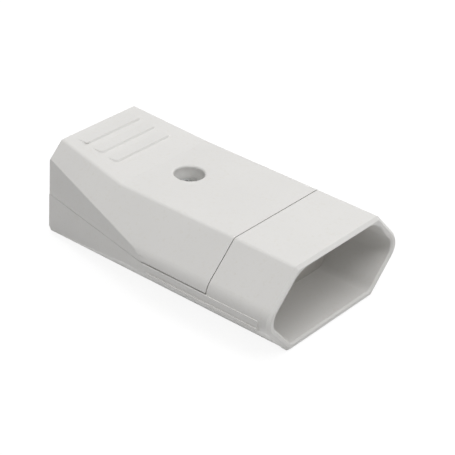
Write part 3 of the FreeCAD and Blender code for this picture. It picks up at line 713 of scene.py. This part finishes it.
def lean_ridges(solid, lean):
    """Leans the low walls of the finger ridges inwards."""
    moves = {}
    for edge in solid.edges:
        foot, head = sorted(edge.verts, key=lambda point: point.co.z)
        rise = head.co - foot.co
        on_roof = foot.co.y > RIDGES_START and foot.co.z > JOINT_TOP
        if on_roof and rise.xy.length < UPRIGHT and rise.z < RIDGE_WALL:
            walls = [face.normal for face in edge.link_faces]
            moves[head] = -(walls[0] + walls[1]).normalized() * lean
    for head, move in moves.items():
        head.co += move


def well_rim(solid, axis, floor):
    """The hard edges round the mouth of the screw's well."""
    return [
        edge
        for edge in solid.edges
        if not edge.smooth
        and edge.is_convex
        and all(point.co.z > floor and (point.co.xy - axis).length < WELL_REACH for point in edge.verts)
    ]


def widening_rings(solid, ring, axis, level, reach):
    """The rings of points that a rounded rim climbs through, from the well's wall to the flat top."""
    rings = [ring]
    for step in range(1, RIM_STEPS + 1):
        angle = math.pi / 2 * step / RIM_STEPS
        wider = []
        for point in ring:
            out = point.co.xy - axis
            place = axis + out * (1 + reach * (1 - math.cos(angle)) / out.length)
            wider.append(solid.verts.new((place.x, place.y, level - reach * (1 - math.sin(angle)))))
        rings.append(wider)
    return rings


def lay_flat(solid, border):
    """Fills the flat top between its outer border and the well."""
    filled = bmesh.ops.triangle_fill(solid, edges=border, use_beauty=True, normal=(0, 0, 1))["geom"]
    faces = [item for item in filled if isinstance(item, bmesh.types.BMFace)]
    solid.normal_update()
    for face in faces:
        face.smooth = True
        if face.normal.z < 0:
            face.normal_flip()


def round_well(solid, reach):
    """Rounds the rim of the screw's well and lays the flat top anew round it."""
    low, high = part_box("cover_screw")
    axis = Vector(((low[0] + high[0]) / 2, (low[1] + high[1]) / 2))
    rim = well_rim(solid, axis, high[2])
    level = rim[0].verts[0].co.z
    flat = {
        face
        for face in solid.faces
        if face.normal.z > UP_FACING
        and all(abs(point.co.z - level) < SAME_HEIGHT for point in face.verts)
    }
    outline = [edge for edge in solid.edges if len(flat.intersection(edge.link_faces)) == 1]
    border = [edge for edge in outline if edge not in rim]
    ring = sorted(
        {point for edge in rim for point in edge.verts},
        key=lambda point: math.atan2(point.co.y - axis.y, point.co.x - axis.x),
    )
    bmesh.ops.delete(solid, geom=list(flat), context="FACES")
    rings = widening_rings(solid, ring, axis, level, reach)
    for point in ring:
        point.co.z = level - reach
    for edge in rim:
        edge.smooth = True
    for inner, outer in zip(rings, rings[1:]):
        for step in range(len(ring)):
            solid.faces.new((inner[step - 1], outer[step - 1], outer[step], inner[step])).smooth = True
    border += [solid.edges.get((rings[-1][step - 1], rings[-1][step])) for step in range(len(ring))]
    lay_flat(solid, border)
    if not all(edge.is_contiguous for edge in solid.edges):
        raise RuntimeError("the cover isn't closed round the well")


def cover_moulding(node, name, width):
    details = bpy.context.scene.connector_cover
    solid = merged_solid(node)
    part_sides(solid, details.facet_strip)
    open_joint(solid, details)
    lean_ridges(solid, details.ridge_lean)
    round_well(solid, details.well_rounding)
    return rounded(solid, name, width)


# Threads


def thread_tree(material):
    """A node tree that winds a thread round a shank and joins it to the screw."""
    tree = bpy.data.node_groups.new("wind_thread", "GeometryNodeTree")
    tree.interface.new_socket("Geometry", in_out="INPUT", socket_type="NodeSocketGeometry")
    for name in ("Core Radius", "Depth", "Turns", "Length"):
        tree.interface.new_socket(name, in_out="INPUT", socket_type="NodeSocketFloat")
    tree.interface.new_socket("Foot", in_out="INPUT", socket_type="NodeSocketVector")
    tree.interface.new_socket("Geometry", in_out="OUTPUT", socket_type="NodeSocketGeometry")
    nodes = tree.nodes
    entry = nodes.new("NodeGroupInput")
    spiral = nodes.new("GeometryNodeCurveSpiral")
    spiral.inputs["Resolution"].default_value = THREAD_STEPS
    profile = nodes.new("GeometryNodeCurvePrimitiveCircle")
    profile.inputs["Resolution"].default_value = THREAD_CORNERS
    sweep = nodes.new("GeometryNodeCurveToMesh")
    sweep.inputs["Fill Caps"].default_value = True
    lift = nodes.new("GeometryNodeTransform")
    together = nodes.new("GeometryNodeJoinGeometry")
    real = nodes.new("GeometryNodeRealizeInstances")
    finish = nodes.new("GeometryNodeSetMaterial")
    finish.inputs["Material"].default_value = material
    leave = nodes.new("NodeGroupOutput")
    link = tree.links.new
    link(entry.outputs["Core Radius"], spiral.inputs["Start Radius"])
    link(entry.outputs["Core Radius"], spiral.inputs["End Radius"])
    link(entry.outputs["Turns"], spiral.inputs["Rotations"])
    link(entry.outputs["Length"], spiral.inputs["Height"])
    link(entry.outputs["Depth"], profile.inputs["Radius"])
    link(spiral.outputs["Curve"], sweep.inputs["Curve"])
    link(profile.outputs["Curve"], sweep.inputs["Profile Curve"])
    link(sweep.outputs["Mesh"], lift.inputs["Geometry"])
    link(entry.outputs["Foot"], lift.inputs["Translation"])
    link(entry.outputs["Geometry"], together.inputs["Geometry"])
    link(lift.outputs["Geometry"], together.inputs["Geometry"])
    link(together.outputs["Geometry"], real.inputs["Geometry"])
    link(real.outputs["Geometry"], finish.inputs["Geometry"])
    link(finish.outputs["Geometry"], leave.inputs["Geometry"])
    return tree


def wind_thread(piece, tree, axis, core, bottom, top):
    """Winds the thread round a shank that stands on bottom and reaches up to top."""
    sizes = bpy.context.scene.connector_screws
    length = top - bottom - sizes.depth * 2
    modifier = piece.modifiers.new("thread", "NODES")
    modifier.node_group = tree
    values = {
        "Core Radius": core,
        "Depth": sizes.depth,
        "Turns": length / sizes.pitch,
        "Length": length,
        "Foot": (axis.x, axis.y, bottom + sizes.depth),
    }
    for socket in tree.interface.items_tree:
        if socket.item_type == "SOCKET" and socket.in_out == "INPUT" and socket.name in values:
            modifier[socket.identifier] = values[socket.name]
    return settle(piece)


def shank_of(node):
    """The axis of a screw, its shank's radius and the heights that the shank runs between."""
    low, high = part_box(node)
    axis = Vector(((low[0] + high[0]) / 2, (low[1] + high[1]) / 2, 0))
    points = [Vector(vertex.co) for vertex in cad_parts[node].data.vertices]
    foot = [point for point in points if point.z < low[2] + SAME_HEIGHT]
    radius = max((point.xy - axis.xy).length for point in foot)
    wide = [point.z for point in points if (point.xy - axis.xy).length > radius * HEAD_FROM]
    return axis, radius, low[2], min(wide)


def slim_shank(solid, axis, radius, core, seat):
    """Takes the shank down to the core that the thread stands on."""
    for vert in solid.verts:
        out = vert.co.xy - axis.xy
        if vert.co.z < seat + SAME_HEIGHT and SHANK_FROM * radius < out.length < SHANK_TO * radius:
            vert.co.xy = axis.xy + out * (core / radius)


def slotted_screw(node, name, tree):
    edge = bpy.context.scene.connector_metal.edge
    axis, radius, foot, seat = shank_of(node)
    core = radius - bpy.context.scene.connector_screws.depth
    solid = merged_solid(node)
    slim_shank(solid, axis, radius, core, seat)
    return wind_thread(rounded(solid, name, edge), tree, axis, core, foot, seat)


def turned(profile, steps):
    """A closed solid turned from (radius, height) points that start and end on the axis."""
    solid = bmesh.new()
    rings = []
    for radius, height in profile:
        if radius == 0:
            rings.append([solid.verts.new((0, 0, height))])
            continue
        ring = []
        for step in range(steps):
            angle = 2 * math.pi * step / steps
            ring.append(solid.verts.new((radius * math.cos(angle), radius * math.sin(angle), height)))
        rings.append(ring)
    for below, above in zip(rings, rings[1:]):
        for step in range(steps):
            after = (step + 1) % steps
            corners = [below[step % len(below)], below[after % len(below)]]
            corners += [above[after % len(above)], above[step % len(above)]]
            kept = []
            for corner in corners:
                if corner not in kept:
                    kept.append(corner)
            solid.faces.new(kept)
    bmesh.ops.recalc_face_normals(solid, faces=solid.faces)
    return solid


def corners_of(length, width, height):
    """The corners, in turn, of a level rectangle whose middle is on the axis."""
    signs = ((-1, -1), (1, -1), (1, 1), (-1, 1))
    return [Vector((x * length / 2, y * width / 2, height)) for x, y in signs]


def cross_cutter(width, length, top, depth):
    """A cross with leaning ends that cuts the driver's recess."""
    solid = bmesh.new()
    for turn in (0, math.pi / 2):
        spin = Matrix.Rotation(turn, 3, "Z")
        upper = [solid.verts.new(spin @ corner) for corner in corners_of(length, width, top)]
        low_corners = corners_of(length * FOOT_LENGTH, width * FOOT_WIDTH, top - depth)
        lower = [solid.verts.new(spin @ corner) for corner in low_corners]
        solid.faces.new(upper)
        solid.faces.new(list(reversed(lower)))
        for step in range(4):
            after = (step + 1) % 4
            solid.faces.new([upper[step], lower[step], lower[after], upper[after]])
    bmesh.ops.recalc_face_normals(solid, faces=solid.faces)
    return solid


def cut_cross(piece, sizes, top):
    """Cuts the driver's recess into a head whose top is at that height."""
    solid = cross_cutter(sizes.recess_width, sizes.recess_length, top + CUTTER_RISE, CUTTER_HEIGHT)
    tool = object_of(solid, "cross_cutter")
    cut = piece.modifiers.new("cross", "BOOLEAN")
    cut.operation = "DIFFERENCE"
    cut.solver = "EXACT"
    cut.use_self = True
    cut.object = tool
    settle(piece)
    mesh = tool.data
    bpy.data.objects.remove(tool)
    bpy.data.meshes.remove(mesh)


def cover_screw(node, name, tree):
    """The sunk screw: a domed head with a cross recess on a threaded shank."""
    sizes = bpy.context.scene.connector_screws
    axis, radius, foot, seat = shank_of(node)
    low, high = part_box(node)
    head = (high[0] - low[0]) / 2
    rise = high[2] - seat
    core = radius - sizes.depth
    profile = [(0, foot), (core * TIP_RADIUS, foot), (core, foot + core * TIP_RISE)]
    profile += [(core, seat), (head * SEAT_RADIUS, seat), (head, seat + head * SEAT_RISE)]
    straight = rise * STRAIGHT_PART
    for step in range(DOME_STEPS + 1):
        angle = math.pi / 2 * step / DOME_STEPS
        height = seat + straight + (rise - straight) * math.sin(angle)
        profile.append((head * math.cos(angle) ** DOME_POWER, height))
    profile[-1] = (0, high[2])
    piece = object_of(turned(profile, HEAD_STEPS), name)
    cut_cross(piece, sizes, high[2])
    mark_hard_edges(piece.data, CREASE_TURN)
    piece.data.transform(Matrix.Translation(axis))
    return wind_thread(piece, tree, axis, core, foot, seat)


def mark_hard_edges(mesh, limit):
    """Smooth shading, with an edge kept hard where its faces meet at more than the limit."""
    solid = bmesh.new()
    solid.from_mesh(mesh)
    bmesh.ops.remove_doubles(solid, verts=solid.verts, dist=SAME_POINT)
    for face in solid.faces:
        face.smooth = True
    for edge in solid.edges:
        edge.smooth = edge.is_manifold and edge.calc_face_angle(0) < limit
    solid.to_mesh(mesh)
    solid.free()


# Stage


def light_path(tree):
    """A value that is 1 for what the camera sees directly, in gloss or through glass."""
    path = tree.nodes.new("ShaderNodeLightPath")
    seen = tree.nodes.new("ShaderNodeMath")
    seen.operation = "MAXIMUM"
    tree.links.new(path.outputs["Is Camera Ray"], seen.inputs[0])
    tree.links.new(path.outputs["Is Glossy Ray"], seen.inputs[1])
    both = tree.nodes.new("ShaderNodeMath")
    both.operation = "MAXIMUM"
    tree.links.new(seen.outputs[0], both.inputs[0])
    tree.links.new(path.outputs["Is Transmission Ray"], both.inputs[1])
    return both


def light_surround(strength):
    world = bpy.data.worlds.new("studio_surround")
    bpy.context.scene.world = world
    world.use_nodes = True
    tree = world.node_tree
    tree.nodes.clear()
    output = tree.nodes.new("ShaderNodeOutputWorld")
    mix = tree.nodes.new("ShaderNodeMixShader")
    for index, value in ((1, strength), (2, 1.0)):
        background = tree.nodes.new("ShaderNodeBackground")
        background.inputs["Color"].default_value = (1, 1, 1, 1)
        background.inputs["Strength"].default_value = value
        tree.links.new(background.outputs["Background"], mix.inputs[index])
    tree.links.new(light_path(tree).outputs[0], mix.inputs[0])
    tree.links.new(mix.outputs["Shader"], output.inputs["Surface"])


def floor_material():
    """A white floor that shows as white paper and keeps a soft shadow."""
    material = bpy.data.materials.new("studio_floor")
    material.use_nodes = True
    tree = material.node_tree
    tree.nodes.clear()
    output = tree.nodes.new("ShaderNodeOutputMaterial")
    plain = tree.nodes.new("ShaderNodeBsdfDiffuse")
    plain.inputs["Color"].default_value = FLOOR_IN_ROOM
    paper = tree.nodes.new("ShaderNodeBsdfDiffuse")
    paper.inputs["Color"].default_value = FLOOR_IN_PICTURE
    glow = tree.nodes.new("ShaderNodeEmission")
    glow.inputs["Strength"].default_value = FLOOR_GLOW
    shown = tree.nodes.new("ShaderNodeAddShader")
    mix = tree.nodes.new("ShaderNodeMixShader")
    tree.links.new(paper.outputs["BSDF"], shown.inputs[0])
    tree.links.new(glow.outputs["Emission"], shown.inputs[1])
    tree.links.new(light_path(tree).outputs[0], mix.inputs[0])
    tree.links.new(plain.outputs["BSDF"], mix.inputs[1])
    tree.links.new(shown.outputs["Shader"], mix.inputs[2])
    tree.links.new(mix.outputs["Shader"], output.inputs["Surface"])
    return material


def add_lamp(name, power, size, place, aim):
    light = bpy.data.lights.new(name, "AREA")
    light.shape = "SQUARE"
    light.size = size
    light.energy = power
    lamp = bpy.data.objects.new(name, light)
    bpy.context.scene.collection.objects.link(lamp)
    lamp.location = place
    lamp.rotation_euler = (Vector(aim) - Vector(place)).to_track_quat("-Z", "Y").to_euler()
    return lamp


def add_camera(stage):
    a = stage.azimuth
    e = stage.elevation
    back = Vector((math.sin(a) * math.cos(e), -math.cos(a) * math.cos(e), math.sin(e)))
    right = Vector((math.cos(a), math.sin(a), 0))
    up = back.cross(right)
    turned_right = right * math.cos(stage.roll) + up * math.sin(stage.roll)
    turned_up = up * math.cos(stage.roll) - right * math.sin(stage.roll)
    data = bpy.data.cameras.new("photo_camera")
    data.lens = stage.lens
    data.sensor_width = 36
    data.sensor_fit = "HORIZONTAL"
    data.clip_start = 0.01
    data.clip_end = 20
    camera = bpy.data.objects.new("photo_camera", data)
    bpy.context.scene.collection.objects.link(camera)
    matrix = Matrix((turned_right, turned_up, back)).transposed().to_4x4()
    matrix.translation = Vector(stage.target) + back * stage.distance
    camera.matrix_world = matrix
    bpy.context.scene.camera = camera


# Operators


class CONNECTOR_OT_shells(bpy.types.Operator):
    """Builds the lower shell and the upper cover in sparked plastic"""

    bl_idname = "connector.shells"
    bl_label = "Shells"

    def execute(self, context):
        plastic = shell_plastic()
        width = context.scene.connector_shell.edge
        lower = moulding("lower_shell", "lower_shell_moulding", width)
        hand_over(lower, "lower_shell", plastic)
        cover = cover_moulding("upper_cover", "upper_cover_moulding", width)
        hand_over(cover, "upper_cover", plastic)
        return {"FINISHED"}


class CONNECTOR_OT_carriers(bpy.types.Operator):
    """Builds the contact carrier and its retainer"""

    bl_idname = "connector.carriers"
    bl_label = "Contact carrier"

    def execute(self, context):
        dress_all(CARRIERS, context.scene.connector_carrier.edge, carrier_plastic())
        return {"FINISHED"}


class CONNECTOR_OT_clamp_bar(bpy.types.Operator):
    """Builds the bar of the cord clamp"""

    bl_idname = "connector.clamp_bar"
    bl_label = "Cord clamp bar"

    def execute(self, context):
        bar = {"cord_clamp_bar": "cord_clamp_bar_moulding"}
        dress_all(bar, context.scene.connector_carrier.edge, carrier_plastic())
        return {"FINISHED"}


class CONNECTOR_OT_contacts(bpy.types.Operator):
    """Builds the three brass contacts with their terminal blocks"""

    bl_idname = "connector.contacts"
    bl_label = "Contacts"

    def execute(self, context):
        dress_all(CONTACTS, context.scene.connector_metal.edge, brass())
        return {"FINISHED"}


class CONNECTOR_OT_bushes(bpy.types.Operator):
    """Builds the brass bushes that the screws go into"""

    bl_idname = "connector.bushes"
    bl_label = "Screw bushes"

    def execute(self, context):
        dress_all(INSERTS, context.scene.connector_metal.edge, brass())
        return {"FINISHED"}


class CONNECTOR_OT_springs(bpy.types.Operator):
    """Builds the spring bands round the contact sleeves"""

    bl_idname = "connector.springs"
    bl_label = "Spring bands"

    def execute(self, context):
        dress_all(SPRINGS, context.scene.connector_metal.edge, spring_steel())
        return {"FINISHED"}


class CONNECTOR_OT_screws(bpy.types.Operator):
    """Builds the slotted screws and the sunk cover screw, each with its thread"""

    bl_idname = "connector.screws"
    bl_label = "Screws"

    def execute(self, context):
        steel = screw_steel()
        tree = thread_tree(steel)
        for node, name in SLOTTED_SCREWS.items():
            hand_over(slotted_screw(node, name, tree), node, steel)
        sunk = cover_screw("cover_screw", "cover_screw_cross_head", tree)
        hand_over(sunk, "cover_screw", steel)
        return {"FINISHED"}


class CONNECTOR_OT_stage(bpy.types.Operator):
    """Sets the floor, the lamps, the surround and the camera"""

    bl_idname = "connector.stage"
    bl_label = "Stage"

    def execute(self, context):
        stage = context.scene.connector_stage
        mesh = bpy.data.meshes.new("studio_floor")
        mesh.from_pydata(corners_of(FLOOR_SIZE, FLOOR_SIZE, 0), [], [(0, 1, 2, 3)])
        floor = add_object("studio_floor", mesh)
        floor.data.materials.append(floor_material())
        light_surround(stage.surround)
        for name, power, size, place in LAMPS:
            add_lamp(name, getattr(stage, power), size, place, LAMP_AIM)
        add_camera(stage)
        context.scene.view_settings.view_transform = "Standard"
        return {"FINISHED"}


OPERATORS = (
    CONNECTOR_OT_stage,
    CONNECTOR_OT_shells,
    CONNECTOR_OT_carriers,
    CONNECTOR_OT_clamp_bar,
    CONNECTOR_OT_contacts,
    CONNECTOR_OT_bushes,
    CONNECTOR_OT_springs,
    CONNECTOR_OT_screws,
)


class CONNECTOR_PT_sidebar(bpy.types.Panel):
    """Lists the steps that build the connector"""

    bl_label = "Inline Socket Connector"
    bl_idname = "CONNECTOR_PT_sidebar"
    bl_space_type = "VIEW_3D"
    bl_region_type = "UI"
    bl_category = "Connector"

    def draw(self, context):
        for name, group in GROUPS.items():
            settings = getattr(context.scene, name)
            section = self.layout.box()
            for key in group.__annotations__:
                section.prop(settings, key)
        for operator in OPERATORS:
            self.layout.operator(operator.bl_idname)


def register():
    for group in GROUPS.values():
        bpy.utils.register_class(group)
    for name, group in GROUPS.items():
        setattr(bpy.types.Scene, name, bpy.props.PointerProperty(type=group))
    for operator in OPERATORS:
        bpy.utils.register_class(operator)
    bpy.utils.register_class(CONNECTOR_PT_sidebar)


def unregister():
    bpy.utils.unregister_class(CONNECTOR_PT_sidebar)
    for operator in reversed(OPERATORS):
        bpy.utils.unregister_class(operator)
    for name in GROUPS:
        delattr(bpy.types.Scene, name)
    for group in GROUPS.values():
        bpy.utils.unregister_class(group)


def main():
    register()
    bpy.ops.connector.stage()
    bpy.ops.connector.shells()
    bpy.ops.connector.carriers()
    bpy.ops.connector.clamp_bar()
    bpy.ops.connector.contacts()
    bpy.ops.connector.bushes()
    bpy.ops.connector.springs()
    bpy.ops.connector.screws()


if __name__ == "__main__":
    main()
